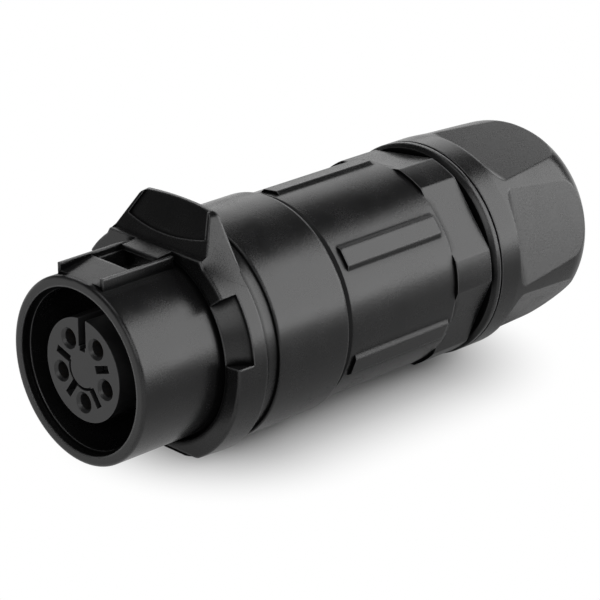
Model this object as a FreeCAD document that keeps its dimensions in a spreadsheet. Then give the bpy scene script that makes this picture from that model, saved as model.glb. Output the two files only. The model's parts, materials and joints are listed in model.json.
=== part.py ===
import FreeCAD, Part
import math
import os
import Sketcher
from FreeCAD import Placement, Rotation, Vector

# Inline socket connector. The X axis is the connector's axis and starts at the mating rim.
# +X runs towards the cable, +Z runs up through the thumb tab. Sizes are millimetres and degrees.

SIZES = [
    # mating collar
    ("collar_wall", 1.7),
    ("collar_length", 12.9),
    ("rim_round", 0.45),
    ("mouth_step", 0.4),
    ("mouth_depth", 1.0),
    ("socket_gap", 3.44),
    ("socket_depth", 13.0),
    ("web_thickness", 2.0),
    ("sleeve_step", 0.6),
    # latch rails, ramp and window on top of the collar
    ("rail_gap", 6.9),
    ("rail_width", 0.5),
    ("rail_front", 0.8),
    ("rail_height", 0.75),
    ("rail_spare", 0.5),
    ("ramp_sink", 0.25),
    ("ramp_rise", 0.5),
    ("window_front", 5.5),
    ("window_inset", 0.3),
    # contact insert
    ("contact_circle_radius", 4.07),
    ("contact_count", 5),
    ("insert_wall", 1.01),
    ("insert_face", 0.8),
    ("insert_collar_step", 0.19),
    ("insert_flange_step", 1.15),
    ("insert_flange_thickness", 2.0),
    ("insert_flange_gap", 0.5),
    ("insert_tail", 3.0),
    ("throat_step", 0.28),
    ("contact_hole_depth", 2.0),
    ("lead_in", 0.35),
    ("key_width", 1.3),
    ("key_depth", 3.46),
    ("slot_width", 0.95),
    ("slot_inset", 1.72),
    ("slot_reach", 0.68),
    ("slot_depth", 1.2),
    ("hub_inset", 1.57),
    ("hub_groove_width", 0.35),
    ("hub_groove_depth", 0.5),
    ("hub_groove_middle", -144.0),
    ("hub_groove_span", 144.0),
    # socket contacts
    ("contact_radius", 1.28),
    ("contact_wall", 0.5),
    ("contact_bore_depth", 11.0),
    ("cup_length", 4.5),
    ("cup_bore_depth", 3.5),
    # seal and retainer of the front end
    ("mating_seal_thickness", 1.2),
    ("retainer_thickness", 2.0),
    ("retainer_gap", 0.2),
    ("retainer_notch", 1.2),
    # locking ring
    ("ring_overlap", 0.9),
    ("ring_lip_thickness", 1.2),
    ("ring_travel", 1.7),
    ("travel_spare", 0.2),
    ("ring_overhang", 0.4),
    ("ring_gap", 0.5),
    ("ring_taper", 0.2),
    ("ring_edge_round", 0.3),
    ("skirt_wall", 0.85),
    ("resting_flat_depth", 0.4),
    ("notch_start", 52.0),
    ("notch_end", 86.0),
    ("notch_wall", 0.35),
    ("under_notch_wall", 0.55),
    ("under_notch_length", 1.9),
    ("tongue_reach", 2.2),
    ("tongue_spare", 0.35),
    ("tongue_thickness", 0.6),
    # thumb tab
    ("tab_height", 2.9),
    ("tab_crest_sag", 0.35),
    ("tab_foot_step", 0.5),
    ("tab_ledge", 0.9),
    ("tab_crest_thickness", 0.8),
    ("tab_foot_half_width", 9.91),
    ("tab_top_half_width", 6.1),
    ("tab_flare", 1.04),
    ("tab_root_depth", 0.3),
    ("tab_corner_round", 1.2),
    ("panel_depth", 0.3),
    ("panel_rim", 0.5),
    ("panel_middle", 1.2),
    ("panel_rise", 0.9),
    # smooth front body
    ("body_step", 2.5),
    ("neck_step", 0.4),
    ("shoulder_gap", 0.7),
    ("body_length", 11.7),
    ("spring_floor_depth", 1.1),
    ("spring_bay_wall", 0.9),
    ("sleeve_seat", 4.0),
    ("spigot_wall", 1.85),
    ("shoulder_round", 0.3),
    ("body_end_round", 0.5),
    # latch spring
    ("spring_wire", 0.6),
    ("spring_turns", 3.0),
    # rear body
    ("rear_step", 0.6),
    ("rear_length", 25.4),
    ("spigot_gap", 0.2),
    ("chamber_wall", 1.65),
    ("chamber_setback", 6.0),
    ("rear_web", 2.0),
    ("wire_hole_step", 2.9),
    ("grip_length", 6.2),
    ("grip_step", 0.35),
    ("flat_count", 6),
    ("flat_depth", 0.6),
    ("rib_width", 2.2),
    ("rib_slope", 1.2),
    ("rib_front_margin", 1.8),
    ("rib_rear_margin", 0.9),
    ("rear_clocking", -7.5),
    ("neck_thread_step", 1.8),
    ("neck_wall", 1.7),
    ("neck_length", 10.0),
    # O-ring
    ("o_ring_wire_radius", 0.45),
    ("o_ring_setback", 3.0),
    ("o_ring_groove_width", 1.2),
    # clamp nut
    ("nut_gap", 0.4),
    ("nut_step", 0.6),
    ("nut_length", 22.1),
    ("nut_lip", 0.5),
    ("bead_offset", 1.1),
    ("bead_width", 0.3),
    ("bead_depth", 0.2),
    ("nut_taper_offset", 4.6),
    ("nut_taper", 1.0),
    ("nut_dome_round", 6.0),
    ("nut_flat_offset", 4.9),
    ("nut_flat_depth", 1.7),
    ("nut_cove", 2.0),
    ("nut_clocking", 15.0),
    ("nut_cone_step", 0.7),
    ("nut_cone_length", 8.0),
    ("nut_end_wall", 0.9),
    # clamp cage and cable seal
    ("cage_gap", 1.0),
    ("cage_wall", 1.4),
    ("cage_shoulder_reach", 1.5),
    ("cage_tip_gap", 1.2),
    ("cage_tip_clearance", 0.3),
    ("cage_tip_wall", 1.1),
    ("finger_slot_offset", 7.0),
    ("finger_slot_width", 1.2),
    ("finger_count", 8),
    ("cable_seal_wall", 2.0),
    ("cable_seal_length", 12.0),
    ("cable_spare", 0.3),
    # clearances
    ("slide_clearance", 0.15),
    ("seat_clearance", 0.03),
    ("end_clearance", 0.1),
    ("thread_clearance", 0.2),
]

# Radii and stations that follow from the sizes, each from the pieces that it has to clear or meet.
PLACES = {
    "insert_radius": "contact_circle_radius + contact_radius + insert_wall",
    "insert_collar_radius": "insert_radius + insert_collar_step",
    "insert_flange_radius": "insert_collar_radius + insert_flange_step",
    "insert_bay_radius": "insert_flange_radius + insert_flange_gap",
    "insert_seat": "socket_depth + web_thickness",
    "insert_step": "socket_depth - mating_seal_thickness - end_clearance",
    "insert_end": "insert_seat + insert_flange_thickness + insert_tail",
    "contact_hole_radius": "contact_radius - throat_step",
    "contact_bore_radius": "contact_radius - contact_wall",
    "contact_front": "insert_face + contact_hole_depth + end_clearance",
    "key_floor": "insert_radius - key_depth",
    "hub_radius": "contact_circle_radius - hub_inset",
    "retainer_front": "insert_seat + insert_flange_thickness",
    "retainer_bore_radius": "insert_collar_radius + retainer_gap",
    "socket_radius": "insert_radius + socket_gap",
    "mouth_radius": "socket_radius + mouth_step",
    "collar_radius": "socket_radius + collar_wall",
    "sleeve_radius": "collar_radius - sleeve_step",
    "rail_top": "collar_radius + rail_height",
    "rail_back": "ring_front - rail_spare",
    "window_back": "rail_back - window_inset",
    "ring_front": "collar_length - ring_overlap",
    "lip_front": "collar_length + end_clearance",
    "lip_back": "lip_front + ring_lip_thickness",
    "ring_back": "neck_front + ring_overhang",
    "ring_bore_radius": "collar_radius + ring_gap",
    "skirt_bore_radius": "neck_radius + slide_clearance",
    "ring_rear_radius": "skirt_bore_radius + skirt_wall",
    "ring_front_radius": "ring_rear_radius - ring_taper",
    "notch_back": "lip_back + end_clearance",
    "tab_flank_foot": "sqrt( ring_rear_radius ^ 2 - tab_foot_half_width ^ 2 )",
    "tab_foot_height": "ring_bore_radius + tab_foot_step",
    "tab_crest_height": "ring_front_radius + tab_height",
    "tab_foot": "ring_front + tab_ledge",
    "tab_crest": "ring_back - tab_crest_thickness",
    "neck_front": "lip_back + ring_travel + travel_spare",
    "body_radius": "collar_radius + body_step",
    "neck_radius": "body_radius - neck_step",
    "shoulder_front": "ring_back + ring_travel + shoulder_gap",
    "parting_line": "shoulder_front + body_length",
    "spring_floor": "shoulder_front + spring_floor_depth",
    "spring_bay_radius": "neck_radius - spring_bay_wall",
    "spring_mean_radius": "( sleeve_radius + spring_bay_radius ) / 2",
    "sleeve_end": "spring_floor + sleeve_seat",
    "spigot_bore_radius": "body_radius - spigot_wall",
    "spigot_radius": "spigot_bore_radius - end_clearance",
    "spigot_front": "sleeve_end + spigot_gap",
    "o_ring_groove": "parting_line - o_ring_setback",
    "rear_front": "parting_line + end_clearance",
    "rear_radius": "body_radius - rear_step",
    "rear_end": "parting_line + rear_length",
    "grip_front": "rear_end - grip_length",
    "grip_radius": "rear_radius + grip_step",
    "flat_distance": "rear_radius - flat_depth",
    "chamber_radius": "spigot_radius - chamber_wall",
    "chamber_end": "rear_end - chamber_setback",
    "wire_hole_radius": "chamber_radius - wire_hole_step",
    "neck_seat": "chamber_end + rear_web",
    "neck_thread_radius": "rear_radius - neck_thread_step",
    "neck_bore_radius": "neck_thread_radius - neck_wall",
    "neck_end": "rear_end + neck_length",
    "nut_front": "rear_end + nut_gap",
    "nut_end": "nut_front + nut_length",
    "nut_radius": "rear_radius + nut_step",
    "nut_end_radius": "nut_radius - nut_taper",
    "nut_bead": "nut_front + bead_offset",
    "nut_flat_start": "nut_front + nut_flat_offset",
    "nut_flat_distance": "nut_radius - nut_flat_depth",
    "nut_bore_radius": "neck_thread_radius + thread_clearance",
    "cone_front": "neck_end + thread_clearance",
    "cone_back": "cone_front + nut_cone_length",
    "cone_front_radius": "neck_bore_radius + nut_cone_step",
    "cone_back_radius": "cable_hole_radius + nut_end_wall",
    "cage_front": "neck_seat + cage_gap",
    "cage_radius": "neck_bore_radius - thread_clearance",
    "cage_bore_radius": "cage_radius - cage_wall",
    "cage_shoulder": "neck_end + cage_shoulder_reach",
    "cage_tip": "cone_back - cage_tip_gap",
    "cage_tip_radius": "cone_back_radius + cage_tip_clearance",
    "cage_tip_bore_radius": "cage_tip_radius - cage_tip_wall",
    "finger_slot_front": "cage_front + finger_slot_offset",
    "cable_seal_radius": "cage_bore_radius - end_clearance",
    "cable_seal_bore_radius": "cable_seal_radius - cable_seal_wall",
    "cable_hole_radius": "cable_seal_bore_radius + cable_spare",
}

document = FreeCAD.newDocument("inline_socket_connector")
sheet = document.addObject("Spreadsheet::Sheet", "sizes")
for row, (name, number) in enumerate(SIZES, start=1):
    sheet.set("A%d" % row, name)
    sheet.set("B%d" % row, str(number))
    sheet.setAlias("B%d" % row, name)
document.recompute()

ALIASES = [name for name, number in SIZES]
SAME_PLACE = 0.001
parts = []


def bound(formula):
    # each size in a formula is written as a cell of the sheet, and each place as its own formula
    words = []
    for word in formula.split():
        if word in PLACES:
            word = "( " + bound(PLACES[word]) + " )"
        elif word in ALIASES:
            word = "sizes." + word
        words.append(word)
    return " ".join(words)


def value(formula):
    # the present value of a formula, in millimetres or degrees
    found = sheet.evalExpression(bound(formula))
    return float(getattr(found, "Value", found))


def new_body(label):
    body = document.addObject("PartDesign::Body", label)
    body.Label = label
    parts.append(body)
    return body


def origin_feature(body, role):
    return [feature for feature in body.Origin.OriginFeatures if feature.Role == role][0]


def new_sketch(body, name, plane, offset="0"):
    sketch = body.newObject("Sketcher::SketchObject", name)
    sketch.AttachmentSupport = [(origin_feature(body, plane), "")]
    sketch.MapMode = "FlatFace"
    if offset != "0":
        sketch.setExpression("AttachmentOffset.Base.z", bound(offset))
    return sketch


def fix(sketch, kind, geometry, point, formula):
    # ties one coordinate of a point, or one radius, to a formula
    if formula == "0":
        axis = -2 if kind == "DistanceX" else -1
        sketch.addConstraint(Sketcher.Constraint("PointOnObject", geometry, point, axis))
        return
    number = value(formula)
    if kind == "Radius":
        index = sketch.addConstraint(Sketcher.Constraint(kind, geometry, number))
    else:
        index = sketch.addConstraint(Sketcher.Constraint(kind, -1, 1, geometry, point, number))
    sketch.setExpression("Constraints[%d]" % index, bound(formula))


def draw_loop(sketch, corners):
    # closed outline of straight lines; a third entry in a corner bends the line that leaves it to an arc,
    # and gives a point on that arc and its radius
    first = sketch.GeometryCount
    total = len(corners)
    points = [Vector(value(corner[0]), value(corner[1]), 0) for corner in corners]
    ends = []
    for n, corner in enumerate(corners):
        following = points[(n + 1) % total]
        if len(corner) == 2:
            sketch.addGeometry(Part.LineSegment(points[n], following), False)
            ends.append((1, 2))
            continue
        middle = Vector(value(corner[2][0]), value(corner[2][1]), 0)
        anticlockwise = (middle - points[n]).cross(following - middle).z > 0
        # a sketch keeps its arcs anticlockwise, so a clockwise one is drawn from its far end
        if anticlockwise:
            sketch.addGeometry(Part.Arc(points[n], middle, following), False)
            ends.append((1, 2))
        else:
            sketch.addGeometry(Part.Arc(following, middle, points[n]), False)
            ends.append((2, 1))
    for n, (start, end) in enumerate(ends):
        after = (n + 1) % total
        sketch.addConstraint(Sketcher.Constraint("Coincident", first + n, end, first + after, ends[after][0]))
    for n, corner in enumerate(corners):
        fix(sketch, "DistanceX", first + n, ends[n][0], corner[0])
        fix(sketch, "DistanceY", first + n, ends[n][0], corner[1])
        if len(corner) == 3:
            fix(sketch, "Radius", first + n, 0, corner[2][2])


def draw_circle(sketch, across, up, radius):
    circle = Part.Circle(Vector(value(across), value(up), 0), Vector(0, 0, 1), value(radius))
    index = sketch.addGeometry(circle, False)
    fix(sketch, "DistanceX", index, 3, across)
    fix(sketch, "DistanceY", index, 3, up)
    fix(sketch, "Radius", index, 0, radius)


def turned(body, name, corners):
    # a profile of (station, radius) corners turned about the connector's axis
    sketch = new_sketch(body, name + "_profile", "XY_Plane")
    draw_loop(sketch, corners)
    feature = body.newObject("PartDesign::Revolution", name)
    feature.Profile = sketch
    feature.ReferenceAxis = (sketch, ["H_Axis"])
    document.recompute()
    return feature


def turned_cut(body, name, corners, middle, span):
    # a cut of (station, radius) corners turned over part of a circle;
    # its middle is an angle from +Z towards -Y
    sketch = new_sketch(body, name + "_profile", "XY_Plane")
    sketch.AttachmentOffset = Placement(Vector(0, 0, 0), Rotation(Vector(1, 0, 0), value(middle) + 90))
    draw_loop(sketch, corners)
    feature = body.newObject("PartDesign::Groove", name)
    feature.Profile = sketch
    feature.ReferenceAxis = (sketch, ["H_Axis"])
    feature.Midplane = True
    feature.setExpression("Angle", bound(span))
    document.recompute()
    return feature


def along_axis(body, kind, name, outline, start, length):
    # a Pad or Pocket that runs along +X from a station, with an outline of (y, z) corners
    sketch = new_sketch(body, name + "_outline", "YZ_Plane", start)
    outline(sketch)
    feature = body.newObject("PartDesign::" + kind, name)
    feature.Profile = sketch
    feature.setExpression("Length", bound(length))
    feature.Reversed = kind == "Pocket"
    document.recompute()
    return feature


def across_width(body, kind, name, corners, width):
    # a Pad or Pocket that runs to both sides of the XZ plane, with an outline of (x, z) corners
    sketch = new_sketch(body, name + "_outline", "XZ_Plane")
    draw_loop(sketch, corners)
    feature = body.newObject("PartDesign::" + kind, name)
    feature.Profile = sketch
    feature.Midplane = True
    feature.setExpression("Length", bound(width))
    document.recompute()
    return feature


def repeat_round_axis(body, name, features, count):
    pattern = body.newObject("PartDesign::PolarPattern", name)
    pattern.Originals = features
    pattern.Axis = (origin_feature(body, "X_Axis"), [""])
    pattern.Angle = 360
    pattern.setExpression("Occurrences", bound(count))
    body.Tip = pattern
    document.recompute()
    return pattern


def round_edges(body, name, kind, amount, chosen):
    # a Fillet or Chamfer on the edges of the present solid that a test picks
    base = body.Tip
    edges = ["Edge%d" % (n + 1) for n, edge in enumerate(base.Shape.Edges) if chosen(edge)]
    feature = body.newObject("PartDesign::" + kind, name)
    feature.Base = (base, edges)
    feature.setExpression("Radius" if kind == "Fillet" else "Size", bound(amount))
    body.Tip = feature
    document.recompute()
    return feature


def ring_edge(station, radius):
    # picks a circular edge round the axis at a station and radius
    def chosen(edge):
        curve = edge.Curve
        if not isinstance(curve, Part.Circle):
            return False
        on_axis = math.hypot(curve.Center.y, curve.Center.z) < SAME_PLACE
        at_station = abs(curve.Center.x - value(station)) < SAME_PLACE
        return on_axis and at_station and abs(curve.Radius - value(radius)) < SAME_PLACE

    return chosen


def box_outline(half_width, low, high):
    return taper_outline(half_width, half_width, low, high)


def taper_outline(low_half_width, high_half_width, low, high):
    def outline(sketch):
        draw_loop(sketch, [
            ("-1 * ( " + low_half_width + " )", low),
            (low_half_width, low),
            (high_half_width, high),
            ("-1 * ( " + high_half_width + " )", high),
        ])

    return outline


def make_front_shell():
    body = new_body("front_shell")
    turned(body, "shell", [
        ("0", "mouth_radius"),
        ("0", "collar_radius"),
        ("collar_length", "collar_radius"),
        ("collar_length", "sleeve_radius"),
        ("sleeve_end", "sleeve_radius"),
        ("sleeve_end", "insert_bay_radius"),
        ("insert_seat", "insert_bay_radius"),
        ("insert_seat", "insert_collar_radius + seat_clearance"),
        ("socket_depth", "insert_collar_radius + seat_clearance"),
        ("socket_depth", "socket_radius"),
        ("mouth_depth", "socket_radius"),
        ("mouth_depth", "mouth_radius"),
    ])
    round_edges(body, "rim", "Fillet", "rim_round", ring_edge("0", "collar_radius"))
    # the rails stand on the collar, with their feet sunk in its wall
    along_axis(body, "Pad", "latch_rails",
               box_outline("rail_gap / 2 + rail_width", "mouth_radius + rail_width", "rail_top"),
               "rail_front", "rail_back - rail_front")
    # the ramp rises between the rails from the rim to the window
    across_width(body, "Pocket", "ramp", [
        ("rail_front - rail_width", "collar_radius - ramp_sink"),
        ("window_front", "collar_radius + ramp_rise"),
        ("rail_back + rail_width", "collar_radius + ramp_rise"),
        ("rail_back + rail_width", "rail_top + rail_width"),
        ("rail_front - rail_width", "rail_top + rail_width"),
    ], "rail_gap")
    # the latch tongue slides in the channel behind the window's front edge
    across_width(body, "Pocket", "tongue_channel", [
        ("window_front", "collar_radius"),
        ("rail_back + rail_width", "collar_radius"),
        ("rail_back + rail_width", "rail_top + rail_width"),
        ("window_front", "rail_top + rail_width"),
    ], "rail_gap")
    across_width(body, "Pocket", "window", [
        ("window_front", "insert_radius + rail_width"),
        ("window_back", "insert_radius + rail_width"),
        ("window_back", "rail_top + rail_width"),
        ("window_front", "rail_top + rail_width"),
    ], "rail_gap - window_inset")


def make_contact_insert():
    body = new_body("contact_insert")
    flange_back = "insert_seat + insert_flange_thickness"
    turned(body, "insert", [
        ("insert_face", "0"),
        ("insert_face", "insert_radius"),
        ("insert_step", "insert_radius"),
        ("insert_step", "insert_collar_radius"),
        ("insert_seat", "insert_collar_radius"),
        ("insert_seat", "insert_flange_radius"),
        (flange_back, "insert_flange_radius"),
        (flange_back, "insert_collar_radius"),
        ("insert_end", "insert_collar_radius"),
        ("insert_end", "0"),
    ])

    def hole(radius):
        def outline(sketch):
            draw_circle(sketch, "0", "0 - contact_circle_radius", radius)
        return outline

    throat = along_axis(body, "Pocket", "contact_hole", hole("contact_hole_radius"),
                        "insert_face", "contact_hole_depth + end_clearance")
    passage = along_axis(body, "Pocket", "contact_passage", hole("contact_radius + seat_clearance"),
                         "insert_face + contact_hole_depth", "sleeve_end")
    repeat_round_axis(body, "contact_holes", [throat, passage], "contact_count")

    def mouth(edge):
        curve = edge.Curve
        if not isinstance(curve, Part.Circle):
            return False
        at_face = abs(curve.Center.x - value("insert_face")) < SAME_PLACE
        return at_face and abs(curve.Radius - value("contact_hole_radius")) < SAME_PLACE

    round_edges(body, "lead_ins", "Chamfer", "lead_in", mouth)
    # polarising keyway at the top, open to the rim of the insert
    along_axis(body, "Pocket", "keyway",
               box_outline("key_width / 2", "key_floor", "insert_radius + key_width"),
               "insert_face", "insert_step - insert_face")
    # short slots stand between the contact holes
    slot = along_axis(body, "Pocket", "slot",
                      box_outline("slot_width / 2", "contact_circle_radius - slot_inset",
                                  "contact_circle_radius + slot_reach"),
                      "insert_face", "slot_depth")
    repeat_round_axis(body, "slots", [slot], "contact_count")
    # a groove round part of the hub joins three of the slots
    groove_floor = "insert_face + hub_groove_depth"
    turned_cut(body, "hub_groove", [
        ("insert_face - end_clearance", "hub_radius - hub_groove_width"),
        ("insert_face - end_clearance", "hub_radius"),
        (groove_floor, "hub_radius"),
        (groove_floor, "hub_radius - hub_groove_width"),
    ], "hub_groove_middle", "hub_groove_span")


def make_contacts():
    cup_end = "insert_end + cup_length"
    cup_floor = cup_end + " - cup_bore_depth"
    bore_end = "contact_front + contact_bore_depth"
    for n in range(round(value("contact_count"))):
        body = new_body("contact_%d" % (n + 1))
        turned(body, "tube", [
            ("contact_front", "contact_bore_radius"),
            ("contact_front", "contact_radius"),
            (cup_end, "contact_radius"),
            (cup_end, "contact_bore_radius"),
            (cup_floor, "contact_bore_radius"),
            (cup_floor, "0"),
            (bore_end, "0"),
            (bore_end, "contact_bore_radius"),
        ])
        # the solder cup is cut away on its upper side
        along_axis(body, "Pocket", "cup_opening",
                   box_outline("contact_radius + seat_clearance", "contact_bore_radius / 3",
                               "contact_radius + seat_clearance"),
                   cup_floor, "cup_bore_depth + seat_clearance")
        turn = Rotation(Vector(1, 0, 0), 180 + 360 / value("contact_count") * n)
        body.Placement = Placement(turn.multVec(Vector(0, 0, value("contact_circle_radius"))), Rotation())


def make_mating_seal():
    body = new_body("mating_seal")
    front = "socket_depth - mating_seal_thickness"
    turned(body, "gasket", [
        (front, "insert_collar_radius + seat_clearance"),
        (front, "socket_radius - seat_clearance"),
        ("socket_depth", "socket_radius - seat_clearance"),
        ("socket_depth", "insert_collar_radius + seat_clearance"),
    ])


def make_insert_retainer():
    body = new_body("insert_retainer")
    back = "retainer_front + retainer_thickness"
    turned(body, "retainer", [
        ("retainer_front", "retainer_bore_radius"),
        ("retainer_front", "insert_bay_radius - seat_clearance"),
        (back, "insert_bay_radius - seat_clearance"),
        (back, "retainer_bore_radius"),
    ])
    # two notches across its rear face take the fitting tool
    along_axis(body, "Pocket", "tool_notches",
               box_outline("retainer_notch / 2", "0 - insert_bay_radius", "insert_bay_radius"),
               "retainer_front + retainer_thickness / 2", "retainer_thickness")


def make_locking_ring():
    body = new_body("locking_ring")
    lip_bore = "sleeve_radius + slide_clearance"
    turned(body, "ring", [
        ("ring_front", "ring_bore_radius"),
        ("ring_front", "ring_front_radius"),
        ("ring_back", "ring_rear_radius"),
        ("ring_back", "skirt_bore_radius"),
        ("lip_back", "skirt_bore_radius"),
        ("lip_back", lip_bore),
        ("lip_front", lip_bore),
        ("lip_front", "ring_bore_radius"),
    ])
    round_edges(body, "front_edge", "Fillet", "ring_edge_round", ring_edge("ring_front", "ring_front_radius"))
    round_edges(body, "rear_edge", "Fillet", "ring_edge_round", ring_edge("ring_back", "ring_rear_radius"))
    raise_thumb_tab(body)
    sink_tab_panel(body)
    # the latch tongue reaches forward between the rails
    tongue_front = "ring_front - tongue_reach"
    tongue_floor = "collar_radius + slide_clearance"
    across_width(body, "Pad", "latch_tongue", [
        (tongue_front, tongue_floor),
        (tongue_front, tongue_floor + " + tongue_thickness"),
        ("ring_front", "tab_foot_height"),
        ("lip_front", "tab_foot_height"),
        ("lip_front", "ring_bore_radius + tab_foot_step / 2"),
        ("ring_front", tongue_floor),
    ], "rail_gap - 2 * tongue_spare")
    # a sloping grip is cut in the front edge of each flank
    outside = "ring_rear_radius + tab_height"
    notch = turned_cut(body, "finger_notch", [
        ("ring_front - end_clearance", "ring_bore_radius"),
        ("notch_back", "skirt_bore_radius + notch_wall"),
        ("notch_back", outside),
        ("ring_front - end_clearance", outside),
    ], "( notch_start + notch_end ) / 2", "notch_end - notch_start")
    pair = body.newObject("PartDesign::Mirrored", "finger_notches")
    pair.Originals = [notch]
    pair.MirrorPlane = (origin_feature(body, "XZ_Plane"), [""])
    body.Tip = pair
    document.recompute()
    along_axis(body, "Pocket", "under_notch",
               box_outline("ring_rear_radius", "-2 * ring_rear_radius",
                           "0 - ( ring_bore_radius + under_notch_wall )"),
               "ring_front - end_clearance", "under_notch_length + end_clearance")
    along_axis(body, "Pocket", "resting_flat",
               box_outline("ring_rear_radius", "-2 * ring_rear_radius",
                           "0 - ( ring_rear_radius - resting_flat_depth )"),
               "ring_front", "ring_back - ring_front")


def raise_thumb_tab(body):
    # an arched fin that widens to the rear, with its foot rooted in the ring's wall
    def tab_outline(name, station, flare):
        foot_half = "( tab_foot_half_width - " + flare + " )"
        top_half = "( tab_top_half_width - " + flare + " )"
        root_half = "( " + foot_half + " - tab_root_depth )"
        root = "( tab_flank_foot - tab_root_depth )"
        root_radius = "sqrt( " + root_half + " ^ 2 + " + root + " ^ 2 )"
        corner = "tab_crest_height - tab_crest_sag"
        crest_radius = "( " + top_half + " ^ 2 + tab_crest_sag ^ 2 ) / ( 2 * tab_crest_sag )"
        sketch = new_sketch(body, name, "YZ_Plane", station)
        draw_loop(sketch, [
            ("0 - " + root_half, root),
            ("0 - " + foot_half, "tab_flank_foot"),
            ("0 - " + top_half, corner, ("0", "tab_crest_height", crest_radius)),
            (top_half, corner),
            (foot_half, "tab_flank_foot"),
            (root_half, root, ("0", root_radius, root_radius)),
        ])
        return sketch

    front = tab_outline("tab_front_outline", "ring_front", "tab_flare")
    rear = tab_outline("tab_rear_outline", "ring_back", "0 * tab_flare")
    fin = body.newObject("PartDesign::AdditiveLoft", "thumb_tab")
    fin.Profile = front
    fin.Sections = [rear]
    fin.Ruled = True
    body.Tip = fin
    document.recompute()

    def crest_corner(edge):
        box = edge.BoundBox
        long_way = box.XLength > value("ring_back - ring_front") / 2
        return long_way and box.ZMin > value("ring_rear_radius + tab_corner_round")

    round_edges(body, "tab_corners", "Fillet", "tab_corner_round", crest_corner)
    # the front of the fin leans back from a narrow ledge
    above = "tab_crest_height + tab_height"
    ahead = "ring_front - tab_height"
    across_width(body, "Pocket", "tab_front", [
        (ahead, "tab_foot_height"),
        ("tab_foot", "tab_foot_height"),
        ("tab_crest", "tab_crest_height"),
        ("tab_crest", above),
        (ahead, above),
    ], "4 * tab_foot_half_width")


def sink_tab_panel(body):
    # a shallow panel on the sloping front face, with an arched lower edge
    rise = "( tab_crest_height - tab_foot_height )"
    setback = "( tab_crest - tab_foot )"
    lean = math.degrees(math.atan2(value(setback), value(rise)))
    slope = "sqrt( " + setback + " ^ 2 + " + rise + " ^ 2 )"
    low_half = "( ( 2 * tab_foot_half_width + 3 * tab_top_half_width ) / 5 - tab_flare / 2 - panel_rim )"
    top_half = "( tab_top_half_width - 2 * tab_flare / 3 - panel_rim )"
    arch_radius = "( " + low_half + " ^ 2 + panel_rise ^ 2 ) / ( 2 * panel_rise )"
    sketch = new_sketch(body, "tab_panel_outline", "YZ_Plane")
    sketch.AttachmentOffset = Placement(Vector(0, value("tab_foot_height"), value("tab_foot")),
                                        Rotation(Vector(1, 0, 0), lean))
    draw_loop(sketch, [
        ("0 - " + low_half, "panel_middle + panel_rise", ("0", "panel_middle", arch_radius)),
        (low_half, "panel_middle + panel_rise"),
        (top_half, slope + " + panel_rise"),
        ("0 - " + top_half, slope + " + panel_rise"),
    ])
    panel = body.newObject("PartDesign::Pocket", "tab_panel")
    panel.Profile = sketch
    panel.setExpression("Length", bound("panel_depth"))
    panel.Reversed = True
    document.recompute()


def make_body_sleeve():
    body = new_body("body_sleeve")
    turned(body, "sleeve", [
        ("neck_front", "spring_bay_radius"),
        ("neck_front", "neck_radius"),
        ("shoulder_front", "neck_radius"),
        ("shoulder_front", "body_radius"),
        ("parting_line", "body_radius"),
        ("parting_line", "spigot_bore_radius"),
        ("sleeve_end", "spigot_bore_radius"),
        ("sleeve_end", "sleeve_radius + seat_clearance"),
        ("spring_floor", "sleeve_radius + seat_clearance"),
        ("spring_floor", "spring_bay_radius"),
    ])
    round_edges(body, "shoulder", "Fillet", "shoulder_round", ring_edge("shoulder_front", "body_radius"))
    round_edges(body, "body_end", "Fillet", "body_end_round", ring_edge("parting_line", "body_radius"))


def make_latch_spring():
    half_wire = "spring_wire / 2"
    start = value("lip_back + " + half_wire + " + seat_clearance")
    helix = document.addObject("Part::Helix", "spring_line")
    helix.setExpression("Radius", bound("spring_mean_radius"))
    height = "( spring_floor - lip_back - spring_wire - 2 * seat_clearance )"
    helix.setExpression("Height", bound(height))
    helix.setExpression("Pitch", bound(height + " / spring_turns"))
    helix.Placement = Placement(Vector(start, 0, 0), Rotation(Vector(0, 1, 0), 90))
    wire = document.addObject("Part::Circle", "spring_section")
    wire.setExpression("Radius", bound(half_wire))
    section_centre = Vector(start, 0, value("0 - spring_mean_radius"))
    wire.Placement = Placement(section_centre, Rotation(Vector(1, 0, 0), 90))
    document.recompute()
    spring = document.addObject("Part::Sweep", "latch_spring")
    spring.Sections = [wire]
    spring.Spine = (helix, ["Edge1"])
    spring.Solid = True
    spring.Frenet = True
    spring.Label = "latch_spring"
    document.recompute()
    parts.append(spring)


def make_shell_o_ring():
    o_ring = document.addObject("Part::Torus", "shell_o_ring")
    o_ring.setExpression("Radius1", bound("spigot_bore_radius - seat_clearance - o_ring_wire_radius"))
    o_ring.setExpression("Radius2", bound("o_ring_wire_radius"))
    station = value("o_ring_groove + o_ring_groove_width / 2")
    o_ring.Placement = Placement(Vector(station, 0, 0), Rotation(Vector(0, 1, 0), 90))
    o_ring.Label = "shell_o_ring"
    document.recompute()
    parts.append(o_ring)


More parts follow.
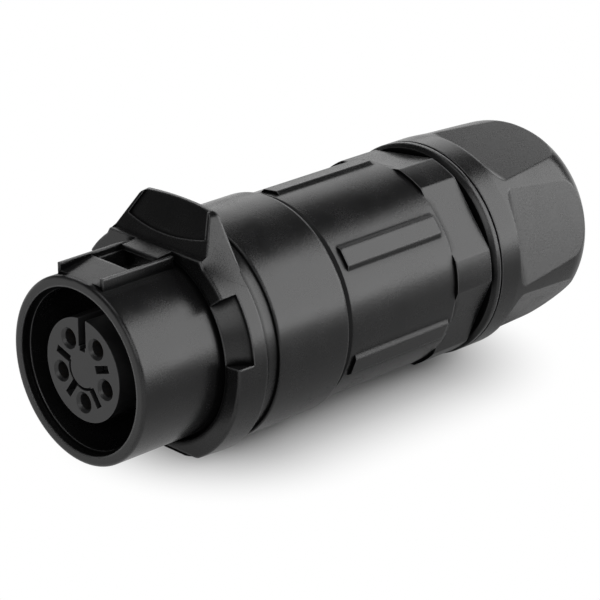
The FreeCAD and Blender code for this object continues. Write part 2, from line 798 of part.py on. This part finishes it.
def make_rear_body():
    body = new_body("rear_body")
    groove_floor = "spigot_bore_radius - 2 * o_ring_wire_radius - 2 * seat_clearance"
    groove_back = "o_ring_groove + o_ring_groove_width"
    turned(body, "rear", [
        ("spigot_front", "chamber_radius"),
        ("spigot_front", "spigot_radius"),
        ("o_ring_groove", "spigot_radius"),
        ("o_ring_groove", groove_floor),
        (groove_back, groove_floor),
        (groove_back, "spigot_radius"),
        ("rear_front", "spigot_radius"),
        ("rear_front", "rear_radius"),
        ("grip_front", "rear_radius"),
        ("grip_front", "grip_radius"),
        ("rear_end", "grip_radius"),
        ("rear_end", "neck_thread_radius"),
        ("neck_end", "neck_thread_radius"),
        ("neck_end", "neck_bore_radius"),
        ("neck_seat", "neck_bore_radius"),
        ("neck_seat", "wire_hole_radius"),
        ("chamber_end", "wire_hole_radius"),
        ("chamber_end", "chamber_radius"),
    ])
    flat = along_axis(body, "Pocket", "flat",
                      box_outline("rear_radius", "flat_distance", "2 * rear_radius"),
                      "grip_front", "grip_length")
    # each rib has sloping sides, and its top is flush with the round of the grip
    rib_front = "rear_front + rib_front_margin"
    rib_foot = "rib_width / 2 + rib_slope"
    rib = along_axis(body, "Pad", "rib",
                     taper_outline(rib_foot, "rib_width / 2", "flat_distance", "grip_radius"),
                     rib_front, "grip_front - rib_rear_margin - ( " + rib_front + " )")
    repeat_round_axis(body, "flats_and_ribs", [flat, rib], "flat_count")
    body.Placement = Placement(Vector(0, 0, 0), Rotation(Vector(1, 0, 0), value("rear_clocking")))


def make_clamp_nut():
    body = new_body("clamp_nut")
    bead_floor = "nut_radius - bead_depth"
    turned(body, "nut", [
        ("nut_front", "nut_bore_radius"),
        ("nut_front", "nut_radius - nut_lip"),
        ("nut_front + nut_lip", "nut_radius"),
        ("nut_bead", "nut_radius"),
        ("nut_bead", bead_floor),
        ("nut_bead + bead_width", bead_floor),
        ("nut_bead + bead_width", "nut_radius"),
        ("nut_front + nut_taper_offset", "nut_radius"),
        ("nut_end", "nut_end_radius"),
        ("nut_end", "cable_hole_radius"),
        ("cone_back", "cable_hole_radius"),
        ("cone_back", "cone_back_radius"),
        ("cone_front", "cone_front_radius"),
        ("cone_front", "nut_bore_radius"),
    ])
    round_edges(body, "dome", "Fillet", "nut_dome_round", ring_edge("nut_end", "nut_end_radius"))
    # each flat runs out of the round front in a hollow curve
    curve_middle = " + nut_cove * ( 1 - sqrt( 0.5 ) )"
    flat = across_width(body, "Pocket", "nut_flat", [
        ("nut_flat_start", "nut_flat_distance + nut_cove",
         ("nut_flat_start" + curve_middle, "nut_flat_distance" + curve_middle, "nut_cove")),
        ("nut_flat_start + nut_cove", "nut_flat_distance"),
        ("nut_end + nut_cove", "nut_flat_distance"),
        ("nut_end + nut_cove", "2 * nut_radius"),
        ("nut_flat_start", "2 * nut_radius"),
    ], "2 * nut_radius")
    repeat_round_axis(body, "nut_flats", [flat], "flat_count")
    body.Placement = Placement(Vector(0, 0, 0), Rotation(Vector(1, 0, 0), value("nut_clocking")))


def make_clamp_cage():
    body = new_body("clamp_cage")
    turned(body, "cage", [
        ("cage_front", "cage_bore_radius"),
        ("cage_front", "cage_radius"),
        ("cage_shoulder", "cage_radius"),
        ("cage_tip", "cage_tip_radius"),
        ("cage_tip", "cage_tip_bore_radius"),
        ("cage_shoulder", "cage_bore_radius"),
    ])
    slot = along_axis(body, "Pocket", "finger_slot",
                      box_outline("finger_slot_width / 2", "cage_tip_bore_radius / 2", "neck_bore_radius"),
                      "finger_slot_front", "cage_tip - finger_slot_front + end_clearance")
    repeat_round_axis(body, "finger_slots", [slot], "finger_count")


def make_cable_seal():
    body = new_body("cable_seal")
    front = "cage_front + end_clearance"
    back = front + " + cable_seal_length"
    turned(body, "seal", [
        (front, "cable_seal_bore_radius"),
        (front, "cable_seal_radius"),
        (back, "cable_seal_radius"),
        (back, "cable_seal_bore_radius"),
    ])


make_front_shell()
make_contact_insert()
make_contacts()
make_mating_seal()
make_insert_retainer()
make_locking_ring()
make_latch_spring()
make_body_sleeve()
make_shell_o_ring()
make_rear_body()
make_cable_seal()
make_clamp_cage()
make_clamp_nut()
document.recompute()

for item in document.Objects:
    if "Invalid" in item.State or "Error" in item.State:
        raise RuntimeError("%s failed: %s" % (item.Label, item.State))
for part in parts:
    if part.Shape.isNull() or not part.Shape.isValid():
        raise RuntimeError("%s has no valid shape" % part.Label)

os.makedirs("parts", exist_ok=True)
for part in parts:
    part.Shape.exportStep("parts/%s.step" % part.Label)
    print("%-16s %d solid %10.2f mm3" % (part.Label, len(part.Shape.Solids), part.Shape.Volume))
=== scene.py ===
import bmesh
import bpy
import json
import math
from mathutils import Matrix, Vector


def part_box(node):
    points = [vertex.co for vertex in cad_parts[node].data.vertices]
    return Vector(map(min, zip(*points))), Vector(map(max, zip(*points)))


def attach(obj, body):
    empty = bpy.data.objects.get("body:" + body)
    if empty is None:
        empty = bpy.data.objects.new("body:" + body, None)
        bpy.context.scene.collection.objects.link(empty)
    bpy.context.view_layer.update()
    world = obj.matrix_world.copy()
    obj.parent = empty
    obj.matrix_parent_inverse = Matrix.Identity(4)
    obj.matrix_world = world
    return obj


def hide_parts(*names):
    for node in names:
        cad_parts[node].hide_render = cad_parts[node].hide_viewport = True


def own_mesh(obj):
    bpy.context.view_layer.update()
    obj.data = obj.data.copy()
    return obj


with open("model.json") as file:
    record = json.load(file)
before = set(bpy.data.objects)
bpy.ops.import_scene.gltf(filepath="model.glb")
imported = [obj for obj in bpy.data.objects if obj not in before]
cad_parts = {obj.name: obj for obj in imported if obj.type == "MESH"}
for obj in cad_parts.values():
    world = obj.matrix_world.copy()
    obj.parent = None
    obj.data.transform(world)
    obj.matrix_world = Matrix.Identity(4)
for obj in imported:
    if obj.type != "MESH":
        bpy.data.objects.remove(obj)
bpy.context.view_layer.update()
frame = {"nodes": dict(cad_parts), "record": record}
nodes = frame["nodes"]
print("frame loaded:", len(nodes), "nodes")

scene = bpy.context.scene
scene.view_settings.view_transform = "Standard"


# small helpers for node trees

def addNode(tree, kind, **settings):
    node = tree.nodes.new(kind)
    for key, setting in settings.items():
        setattr(node, key, setting)
    return node


def link(tree, source, target):
    tree.links.new(source, target)


def calculate(tree, operation, first, second):
    node = addNode(tree, "ShaderNodeMath", operation=operation)
    for index, source in enumerate((first, second)):
        if isinstance(source, float):
            node.inputs[index].default_value = source
        else:
            link(tree, source, node.inputs[index])
    return node.outputs["Value"]


def preset(node, settings):
    for socketName, setting in settings.items():
        node.inputs[socketName].default_value = setting


def opaque(color):
    return tuple(color) + (1.0,)


def newGroup(name, inputs, outputs):
    group = bpy.data.node_groups.new(name, "ShaderNodeTree")
    for socketName, default in inputs:
        socket = group.interface.new_socket(socketName, in_out="INPUT", socket_type="NodeSocketFloat")
        socket.default_value = default
    for socketName, kind in outputs:
        group.interface.new_socket(socketName, in_out="OUTPUT", socket_type=kind)
    start = addNode(group, "NodeGroupInput")
    end = addNode(group, "NodeGroupOutput")
    return group, start, end


# moulded surface: fine spark grain and slow mottling

grainLook = {
    "grain": {"Detail": 3.0, "Roughness": 0.6},
    "mottle": {"Detail": 2.0},
    "toneSpan": {"From Min": 0.3, "From Max": 0.7},
    "glossSpan": {"From Min": 0.7, "From Max": 1.3},
}


def buildMouldGrain():
    group, start, end = newGroup(
        "mouldGrain",
        [("Grain Scale", 5200.0), ("Mottle Scale", 320.0), ("Tone Low", 0.85), ("Tone High", 1.15),
         ("Gloss Low", 0.36), ("Gloss High", 0.46)],
        [("Tone", "NodeSocketFloat"), ("Roughness", "NodeSocketFloat"), ("Height", "NodeSocketFloat")])
    place = addNode(group, "ShaderNodeTexCoord")
    grain = addNode(group, "ShaderNodeTexNoise")
    preset(grain, grainLook["grain"])
    link(group, place.outputs["Object"], grain.inputs["Vector"])
    link(group, start.outputs["Grain Scale"], grain.inputs["Scale"])
    mottle = addNode(group, "ShaderNodeTexNoise")
    preset(mottle, grainLook["mottle"])
    link(group, place.outputs["Object"], mottle.inputs["Vector"])
    link(group, start.outputs["Mottle Scale"], mottle.inputs["Scale"])
    tone = addNode(group, "ShaderNodeMapRange")
    preset(tone, grainLook["toneSpan"])
    link(group, mottle.outputs["Fac"], tone.inputs["Value"])
    link(group, start.outputs["Tone Low"], tone.inputs["To Min"])
    link(group, start.outputs["Tone High"], tone.inputs["To Max"])
    both = calculate(group, "ADD", grain.outputs["Fac"], mottle.outputs["Fac"])
    gloss = addNode(group, "ShaderNodeMapRange")
    preset(gloss, grainLook["glossSpan"])
    link(group, both, gloss.inputs["Value"])
    link(group, start.outputs["Gloss Low"], gloss.inputs["To Min"])
    link(group, start.outputs["Gloss High"], gloss.inputs["To Max"])
    link(group, tone.outputs["Result"], end.inputs["Tone"])
    link(group, gloss.outputs["Result"], end.inputs["Roughness"])
    link(group, grain.outputs["Fac"], end.inputs["Height"])
    return group


# rounded arrises: the normal eased over a small radius

easedLook = {"samples": 6}


def buildEasedEdges():
    group, start, end = newGroup(
        "easedEdges", [("Radius", 0.00015)], [("Normal", "NodeSocketVector")])
    bevel = addNode(group, "ShaderNodeBevel", samples=easedLook["samples"])
    link(group, start.outputs["Radius"], bevel.inputs["Radius"])
    link(group, bevel.outputs["Normal"], end.inputs["Normal"])
    return group


# corners: a mask for outer edges that turn bright, partly wear and partly a painted highlight, and one for
# inner corners that turn matt and dark as painted shade, more so where they face down

cornerMask = {
    "samples": 6, "open": 0.97, "shut": 0.60, "moreBelow": 0.30,
    "below": {"From Min": 0.35, "From Max": -0.05},
}


def buildCornerLook():
    group, start, end = newGroup(
        "cornerLook", [("Edge Reach", 0.00025), ("Hollow Reach", 0.0006)],
        [("Edge", "NodeSocketFloat"), ("Hollow", "NodeSocketFloat")])
    place = addNode(group, "ShaderNodeTexCoord")
    facing = addNode(group, "ShaderNodeSeparateXYZ")
    link(group, place.outputs["Normal"], facing.inputs["Vector"])
    # painted shade: faces that point down get more painted corner shade and less painted edge highlight
    below = addNode(group, "ShaderNodeMapRange")
    preset(below, cornerMask["below"])
    link(group, facing.outputs["Z"], below.inputs["Value"])
    more = calculate(group, "MULTIPLY", below.outputs["Result"], cornerMask["moreBelow"])
    lowered = calculate(group, "ADD", more, cornerMask["shut"])
    masks = {}
    for outputName, reachName, inwards in (("Edge", "Edge Reach", True), ("Hollow", "Hollow Reach", False)):
        covered = addNode(group, "ShaderNodeAmbientOcclusion", samples=cornerMask["samples"],
                          inside=inwards, only_local=inwards)
        link(group, start.outputs[reachName], covered.inputs["Distance"])
        mask = addNode(group, "ShaderNodeMapRange")
        preset(mask, {"From Min": cornerMask["open"], "From Max": cornerMask["shut"]})
        if not inwards:
            link(group, lowered, mask.inputs["From Max"])
        link(group, covered.outputs["AO"], mask.inputs["Value"])
        masks[outputName] = mask.outputs["Result"]
    shaded = calculate(group, "MULTIPLY", masks["Hollow"], below.outputs["Result"])
    rubbedAndHighlit = calculate(group, "MULTIPLY", masks["Edge"], calculate(group, "SUBTRACT", 1.0, shaded))
    link(group, rubbedAndHighlit, end.inputs["Edge"])
    link(group, masks["Hollow"], end.inputs["Hollow"])
    return group


mouldGrain = buildMouldGrain()
easedEdges = buildEasedEdges()
cornerLook = buildCornerLook()
print("shared node groups built")


# finishes: each takes its grain, eased edges and corner masks from the shared groups

def mouldedMaterial(name, look):
    material = bpy.data.materials.new(name)
    material.use_nodes = True
    tree = material.node_tree
    shader = tree.nodes["Principled BSDF"]
    grain = addNode(tree, "ShaderNodeGroup", node_tree=mouldGrain)
    preset(grain, {
        "Grain Scale": look["grainScale"], "Mottle Scale": look["mottleScale"],
        "Gloss Low": look["roughness"] - look["roughnessSpread"],
        "Gloss High": look["roughness"] + look["roughnessSpread"],
    })
    eased = addNode(tree, "ShaderNodeGroup", node_tree=easedEdges)
    preset(eased, {"Radius": look["edgeRadius"]})
    toned = addNode(tree, "ShaderNodeMix", data_type="RGBA", blend_type="MULTIPLY")
    toned.inputs["Factor"].default_value = 1.0
    toned.inputs["A"].default_value = opaque(look["color"])
    link(tree, grain.outputs["Tone"], toned.inputs["B"])
    corner = addNode(tree, "ShaderNodeGroup", node_tree=cornerLook)
    preset(corner, {"Edge Reach": look["edgeReach"], "Hollow Reach": look["hollowReach"]})
    # outer edges take a lighter colour: partly wear, partly a painted highlight
    wornAndHighlit = addNode(tree, "ShaderNodeMix", data_type="RGBA")
    wearAndHighlight = calculate(tree, "MULTIPLY", corner.outputs["Edge"], look["edgeWearHighlight"])
    link(tree, wearAndHighlight, wornAndHighlit.inputs["Factor"])
    link(tree, toned.outputs["Result"], wornAndHighlit.inputs["A"])
    wornAndHighlit.inputs["B"].default_value = opaque(look["wornHighlightColor"])
    link(tree, wornAndHighlit.outputs["Result"], shader.inputs["Base Color"])
    gloss = addNode(tree, "ShaderNodeMix", data_type="FLOAT")
    link(tree, corner.outputs["Hollow"], gloss.inputs["Factor"])
    link(tree, grain.outputs["Roughness"], gloss.inputs["A"])
    gloss.inputs["B"].default_value = look["hollowRoughness"]
    link(tree, gloss.outputs["Result"], shader.inputs["Roughness"])
    bump = addNode(tree, "ShaderNodeBump")
    preset(bump, {"Strength": look["bumpStrength"], "Distance": look["bumpDepth"]})
    link(tree, grain.outputs["Height"], bump.inputs["Height"])
    link(tree, eased.outputs["Normal"], bump.inputs["Normal"])
    link(tree, bump.outputs["Normal"], shader.inputs["Normal"])
    # painted shade: Metallic rises in inner corners, so the near-black nylon renders darker there; the
    # metals stay fully metallic
    metalAndCornerShade = calculate(tree, "MAXIMUM", corner.outputs["Hollow"], look["metallic"])
    link(tree, metalAndCornerShade, shader.inputs["Metallic"])
    shader.inputs["Specular IOR Level"].default_value = look["specular"]
    return material


# the lighter edge colour in each finish stands for wear and for a painted highlight
blackNylon = {
    "color": (0.006, 0.006, 0.0062), "wornHighlightColor": (0.09, 0.09, 0.092), "edgeWearHighlight": 0.8,
    "roughness": 0.25, "roughnessSpread": 0.05, "grainScale": 5200.0, "mottleScale": 260.0,
    "edgeRadius": 0.00040, "bumpStrength": 0.25, "bumpDepth": 0.00004, "metallic": 0.0,
    "specular": 0.42, "edgeReach": 0.00022, "hollowReach": 0.0012, "hollowRoughness": 0.95,
}
greyInsert = {
    "color": (0.013, 0.013, 0.0135), "wornHighlightColor": (0.06, 0.06, 0.061), "edgeWearHighlight": 0.4,
    "roughness": 0.36, "roughnessSpread": 0.05, "grainScale": 6000.0, "mottleScale": 420.0,
    "edgeRadius": 0.00012, "bumpStrength": 0.3, "bumpDepth": 0.00004, "metallic": 0.0,
    "specular": 0.5, "edgeReach": 0.00020, "hollowReach": 0.00012, "hollowRoughness": 0.9,
}
goldContact = {
    "color": (0.83, 0.62, 0.28), "wornHighlightColor": (0.90, 0.76, 0.48), "edgeWearHighlight": 0.5,
    "roughness": 0.24, "roughnessSpread": 0.06, "grainScale": 3200.0, "mottleScale": 700.0,
    "edgeRadius": 0.00006, "bumpStrength": 0.1, "bumpDepth": 0.00001, "metallic": 1.0,
    "specular": 0.5, "edgeReach": 0.00010, "hollowReach": 0.0003, "hollowRoughness": 0.5,
}
springWire = {
    "color": (0.55, 0.55, 0.56), "wornHighlightColor": (0.75, 0.75, 0.76), "edgeWearHighlight": 0.2,
    "roughness": 0.30, "roughnessSpread": 0.08, "grainScale": 2600.0, "mottleScale": 900.0,
    "edgeRadius": 0.00004, "bumpStrength": 0.15, "bumpDepth": 0.00001, "metallic": 1.0,
    "specular": 0.5, "edgeReach": 0.00008, "hollowReach": 0.0003, "hollowRoughness": 0.5,
}
sealRubber = {
    "color": (0.030, 0.030, 0.031), "wornHighlightColor": (0.06, 0.06, 0.06), "edgeWearHighlight": 0.3,
    "roughness": 0.68, "roughnessSpread": 0.06, "grainScale": 4200.0, "mottleScale": 380.0,
    "edgeRadius": 0.00012, "bumpStrength": 0.4, "bumpDepth": 0.00005, "metallic": 0.0,
    "specular": 0.4, "edgeReach": 0.00015, "hollowReach": 0.0004, "hollowRoughness": 0.9,
}
# the thin blends have no free edges of their own
flushNylon = dict(blackNylon, edgeWearHighlight=0.0, edgeRadius=0.00001, hollowReach=0.00001)
# the seam ring's rubber is a darker copy of the seal rubber: painted shade in the joint
seamPaintedShade = dict(sealRubber, color=(0.004, 0.004, 0.0042), edgeWearHighlight=0.0, roughness=0.85, specular=0.12)
finishes = {
    "shell": mouldedMaterial("blackNylon", blackNylon),
    "flush": mouldedMaterial("flushNylon", flushNylon),
    "insert": mouldedMaterial("greyInsert", greyInsert),
    "brass": mouldedMaterial("goldContact", goldContact),
    "steel": mouldedMaterial("springWire", springWire),
    "rubber": mouldedMaterial("sealRubber", sealRubber),
    "seam": mouldedMaterial("seamPaintedShade", seamPaintedShade),
}


# small helpers for swept meshes: a skin over rings of corners, and the piece that holds it

def skinRings(shape, rings, closed, sharpAngle):
    count = len(rings[0])
    followers = rings[1:] + rings[:1] if closed else rings[1:]
    for before, after in zip(rings, followers):
        for index in range(count):
            following = (index + 1) % count
            shape.faces.new((before[index], before[following], after[following], after[index]))
    if not closed:
        shape.faces.new(rings[0])
        shape.faces.new(list(reversed(rings[-1])))
    bmesh.ops.recalc_face_normals(shape, faces=shape.faces)
    for face in shape.faces:
        face.smooth = len(face.verts) == 4
    for edge in shape.edges:
        edge.smooth = edge.calc_face_angle(0.0) < sharpAngle


def addPiece(name, shape, finish):
    mesh = bpy.data.meshes.new(name)
    shape.to_mesh(mesh)
    shape.free()
    mesh.materials.append(finish)
    piece = bpy.data.objects.new(name, mesh)
    scene.collection.objects.link(piece)
    return piece


# blends in the corners where the thumb tab's flanks run out on the ring

flankBlend = {
    "front": 0.01235, "back": 0.01620, "stations": 24, "steps": 14,
    "shortReach": 0.00075, "longReach": 0.0033, "cover": 0.0001,
    "ringFront": 0.0120, "ringBack": 0.0165, "frontRadius": 0.0144, "backRadius": 0.0146,
    "frontFoot": 0.00887, "backFoot": 0.00991, "footHeight": 0.01072,
    "narrowing": 0.00381, "rise": 0.00623, "sharpAngle": 0.5,
}


def blendSection(x, side):
    look = flankBlend
    along = (x - look["ringFront"]) / (look["ringBack"] - look["ringFront"])
    radius = look["frontRadius"] + along * (look["backRadius"] - look["frontRadius"])
    foot = look["frontFoot"] + along * (look["backFoot"] - look["frontFoot"])
    grown = (x - look["front"]) / (look["back"] - look["front"])
    reach = look["shortReach"] + grown * (look["longReach"] - look["shortReach"])
    tilt = math.atan2(look["rise"], look["narrowing"])
    depth = foot * math.sin(tilt) + look["footHeight"] * math.cos(tilt)
    angle = tilt - math.acos(depth / math.hypot(radius, reach)) + math.atan2(reach, radius)
    meeting = tilt - math.acos(depth / radius)
    low = Vector((radius * math.sin(angle), radius * math.cos(angle)))
    bend = low - reach * Vector((math.cos(angle), -math.sin(angle)))
    high = bend - reach * Vector((math.cos(tilt), -math.sin(tilt)))
    inside = (radius - look["cover"]) * Vector((math.sin(meeting), math.cos(meeting)))
    curve = []
    for step in range(look["steps"] + 1):
        share = step / look["steps"]
        curve.append((1 - share) ** 2 * high + 2 * share * (1 - share) * bend + share ** 2 * low)
    curve.append(inside)
    return [(x, side * point.x, point.y) for point in curve]


def buildFlankBlend(name, side):
    look = flankBlend
    shape = bmesh.new()
    rows = []
    for station in range(look["stations"] + 1):
        x = look["front"] + (look["back"] - look["front"]) * station / look["stations"]
        rows.append([shape.verts.new(corner) for corner in blendSection(x, side)])
    skinRings(shape, rows, False, look["sharpAngle"])
    piece = addPiece(name, shape, finishes["flush"])
    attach(piece, "ring")


buildFlankBlend("nearFlankBlend", -1)
buildFlankBlend("farFlankBlend", 1)
print("flank blends built")


# latch spring: a coil in the CAD spring's place

latchCoil = {"wire": 0.0006, "turns": 3, "stationsPerTurn": 48, "sides": 10, "sharpAngle": math.pi}


def buildLatchCoil(name):
    look = latchCoil
    lowest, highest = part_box("latch_spring")
    half = look["wire"] / 2
    meanRadius = highest.y - half
    stations = look["turns"] * look["stationsPerTurn"]
    run = highest.x - lowest.x - look["wire"]
    shape = bmesh.new()
    rings = []
    for station in range(stations + 1):
        turned = 2 * math.pi * station / look["stationsPerTurn"]
        outwards = Vector((0.0, math.sin(turned), -math.cos(turned)))
        centre = outwards * meanRadius + Vector((lowest.x + half + run * station / stations, 0.0, 0.0))
        ring = []
        for side in range(look["sides"]):
            around = 2 * math.pi * side / look["sides"]
            offset = math.cos(around) * outwards + Vector((math.sin(around), 0.0, 0.0))
            ring.append(shape.verts.new(centre + half * offset))
        rings.append(ring)
    skinRings(shape, rings, False, look["sharpAngle"])
    piece = addPiece(name, shape, finishes["steel"])
    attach(piece, "housing")
    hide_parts("latch_spring")
    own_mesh(piece)


buildLatchCoil("latchCoil")
print("latch spring built")


# seam shade ring: a dark rubber ring where the front body meets the rear body, painted shade standing in
# for the shadowed joint

seamShadeRing = {
    "gap": 0.00003, "width": 0.00085, "radius": 0.0134, "seat": 0.00003,
    "frontHeight": 0.00014, "backHeight": 0.00005, "segments": 180, "sharpAngle": 0.5,
}


def buildSeamShadeRing(name):
    look = seamShadeRing
    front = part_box("body_sleeve")[1].x + look["gap"]
    back = front + look["width"]
    low = look["radius"] - look["seat"]
    section = [(front, low), (back, low), (back, look["radius"] + look["backHeight"]),
               (front, look["radius"] + look["frontHeight"])]
    shape = bmesh.new()
    rings = []
    for segment in range(look["segments"]):
        turned = 2 * math.pi * segment / look["segments"]
        rings.append([shape.verts.new((x, radius * math.sin(turned), radius * math.cos(turned)))
                      for x, radius in section])
    skinRings(shape, rings, True, look["sharpAngle"])
    piece = addPiece(name, shape, finishes["seam"])
    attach(piece, "housing")


buildSeamShadeRing("seamShadeRing")
print("seam lip built")

slotOfNode = {part["node"]: part["material_slot"] for part in frame["record"]["subparts"]}
for name, node in nodes.items():
    node.data.materials.clear()
    node.data.materials.append(finishes[slotOfNode[name]])
print("finishes on", len(nodes), "nodes")


# floor: pale, goes to white for the camera and in reflections; the white is held back in a painted shadow
# close to the object, where the floor's own shadow also shows, and in a patch of painted shade that
# reflections see near the object

floorLook = {
    "size": 3.0, "color": (0.55, 0.55, 0.55), "white": (1.0, 1.0, 1.0), "strength": 1.0,
    "shadowMiddle": 0.0380, "shadowHalf": 0.0140, "shadowNear": 0.003, "shadowFar": 0.023,
    "reflectedShadeMiddle": (0.065, -0.030, 0.0), "reflectedShadeNear": 0.035, "reflectedShadeFar": 0.090, "reflectedWhite": 0.8,
}


def riseBetween(tree, source, low, high):
    rise = addNode(tree, "ShaderNodeMapRange", interpolation_type="SMOOTHSTEP")
    preset(rise, {"From Min": low, "From Max": high})
    link(tree, source, rise.inputs["Value"])
    return rise.outputs["Result"]


def whiteShare(tree):
    look = floorLook
    place = addNode(tree, "ShaderNodeTexCoord").outputs["Object"]
    split = addNode(tree, "ShaderNodeSeparateXYZ")
    link(tree, place, split.inputs["Vector"])
    # painted shadow: the camera's white share rises with distance from a strip under the object's middle
    offset = calculate(tree, "SUBTRACT", split.outputs["X"], look["shadowMiddle"])
    beyond = calculate(tree, "SUBTRACT", calculate(tree, "ABSOLUTE", offset, 0.0), look["shadowHalf"])
    flat = addNode(tree, "ShaderNodeCombineXYZ")
    link(tree, calculate(tree, "MAXIMUM", beyond, 0.0), flat.inputs["X"])
    link(tree, split.outputs["Y"], flat.inputs["Y"])
    away = addNode(tree, "ShaderNodeVectorMath", operation="LENGTH")
    link(tree, flat.outputs["Vector"], away.inputs[0])
    fromShadow = riseBetween(tree, away.outputs["Value"], look["shadowNear"], look["shadowFar"])
    # painted shade in reflections: glossy and transmission rays get less white in a patch near the object
    apart = addNode(tree, "ShaderNodeVectorMath", operation="DISTANCE")
    link(tree, place, apart.inputs[0])
    apart.inputs[1].default_value = look["reflectedShadeMiddle"]
    fromReflectedShade = riseBetween(tree, apart.outputs["Value"], look["reflectedShadeNear"], look["reflectedShadeFar"])
    path = addNode(tree, "ShaderNodeLightPath")
    bounced = calculate(tree, "MAXIMUM", path.outputs["Is Glossy Ray"], path.outputs["Is Transmission Ray"])
    softened = calculate(tree, "MULTIPLY", fromReflectedShade, look["reflectedWhite"])
    mirrored = calculate(tree, "MULTIPLY", bounced, softened)
    seen = calculate(tree, "MULTIPLY", path.outputs["Is Camera Ray"], fromShadow)
    return calculate(tree, "MAXIMUM", seen, mirrored)


def buildFloor():
    lowest = min(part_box(name)[0].z for name in nodes)
    half = floorLook["size"] / 2
    mesh = bpy.data.meshes.new("floor")
    corners = [(-half, -half, lowest), (half, -half, lowest), (half, half, lowest), (-half, half, lowest)]
    mesh.from_pydata(corners, [], [(0, 1, 2, 3)])
    floor = bpy.data.objects.new("floor", mesh)
    scene.collection.objects.link(floor)
    material = bpy.data.materials.new("paleFloor")
    material.use_nodes = True
    tree = material.node_tree
    tree.nodes.remove(tree.nodes["Principled BSDF"])
    paper = addNode(tree, "ShaderNodeBsdfDiffuse")
    preset(paper, {"Color": opaque(floorLook["color"])})
    white = addNode(tree, "ShaderNodeEmission")
    preset(white, {"Color": opaque(floorLook["white"]), "Strength": floorLook["strength"]})
    both = addNode(tree, "ShaderNodeMixShader")
    link(tree, whiteShare(tree), both.inputs["Fac"])
    link(tree, paper.outputs["BSDF"], both.inputs[1])
    link(tree, white.outputs["Emission"], both.inputs[2])
    link(tree, both.outputs["Shader"], tree.nodes["Material Output"].inputs["Surface"])
    mesh.materials.append(material)


buildFloor()
print("floor laid")


# soft studio light: a broad panel on the near side towards the cable end, a paler one behind,
# a small one overhead, and a low one behind the camera that catches the front edges

lights = {
    "nearPanel": {
        "azimuth": -43.5, "elevation": 23.3, "distance": 0.50,
        "wide": 0.60, "high": 0.46, "watts": 3.1,
    },
    "farPanel": {
        "azimuth": 45.0, "elevation": 24.0, "distance": 0.60,
        "wide": 0.72, "high": 0.32, "watts": 0.98,
    },
    "highPanel": {
        "azimuth": 180.0, "elevation": 80.0, "distance": 0.70,
        "wide": 0.40, "high": 0.40, "watts": 0.8,
    },
    "frontPanel": {
        "azimuth": -140.0, "elevation": 28.0, "distance": 0.60,
        "wide": 0.55, "high": 0.32, "watts": 1.1,
    },
}
aim = Vector((0.040, 0.0, 0.0))


def direction(azimuth, elevation):
    az, el = math.radians(azimuth), math.radians(elevation)
    return Vector((math.cos(az) * math.cos(el), math.sin(az) * math.cos(el), math.sin(el)))


def buildLights():
    for name, look in lights.items():
        lamp = bpy.data.lights.new(name, "AREA")
        lamp.shape = "RECTANGLE"
        lamp.size = look["wide"]
        lamp.size_y = look["high"]
        lamp.energy = look["watts"]
        holder = bpy.data.objects.new(name, lamp)
        way = direction(look["azimuth"], look["elevation"])
        holder.location = aim + way * look["distance"]
        holder.rotation_euler = way.to_track_quat("Z", "Y").to_euler()
        scene.collection.objects.link(holder)


# the room: pale at the horizon and dark overhead

roomLook = {
    "strength": 1.0, "horizon": 0.60, "wall": 0.11, "ceiling": 0.05,
    "horizonHeight": 0.02, "wallHeight": 0.22, "ceilingHeight": 0.85,
}


def buildWorld():
    world = bpy.data.worlds.new("studio")
    scene.world = world
    world.use_nodes = True
    tree = world.node_tree
    room = tree.nodes["Background"]
    preset(room, {"Strength": roomLook["strength"]})
    place = addNode(tree, "ShaderNodeTexCoord")
    split = addNode(tree, "ShaderNodeSeparateXYZ")
    link(tree, place.outputs["Generated"], split.inputs["Vector"])
    fade = addNode(tree, "ShaderNodeValToRGB")
    stops = fade.color_ramp.elements
    stops[0].position = roomLook["horizonHeight"]
    stops[0].color = opaque((roomLook["horizon"],) * 3)
    stops[1].position = roomLook["ceilingHeight"]
    stops[1].color = opaque((roomLook["ceiling"],) * 3)
    wall = stops.new(roomLook["wallHeight"])
    wall.color = opaque((roomLook["wall"],) * 3)
    link(tree, split.outputs["Z"], fade.inputs["Fac"])
    link(tree, fade.outputs["Color"], room.inputs["Color"])


buildLights()
buildWorld()
print("lights set:", ", ".join(lights))


# camera at the photograph's viewing angle

shot = {
    "azimuth": -134.20, "elevation": 21.98, "distance": 0.330, "target": (0.032, 0.0, 0.0),
    "lens": 161.5, "sensor": 36.0, "shiftX": 0.0380, "shiftY": -0.0008, "clipStart": 0.01,
}


def buildCamera():
    data = bpy.data.cameras.new("shot")
    data.lens = shot["lens"]
    data.sensor_width = shot["sensor"]
    data.shift_x = shot["shiftX"]
    data.shift_y = shot["shiftY"]
    data.clip_start = shot["clipStart"]
    camera = bpy.data.objects.new("shot", data)
    way = direction(shot["azimuth"], shot["elevation"])
    camera.location = Vector(shot["target"]) + way * shot["distance"]
    camera.rotation_euler = way.to_track_quat("Z", "Y").to_euler()
    scene.collection.objects.link(camera)
    scene.camera = camera


buildCamera()
print("camera set")
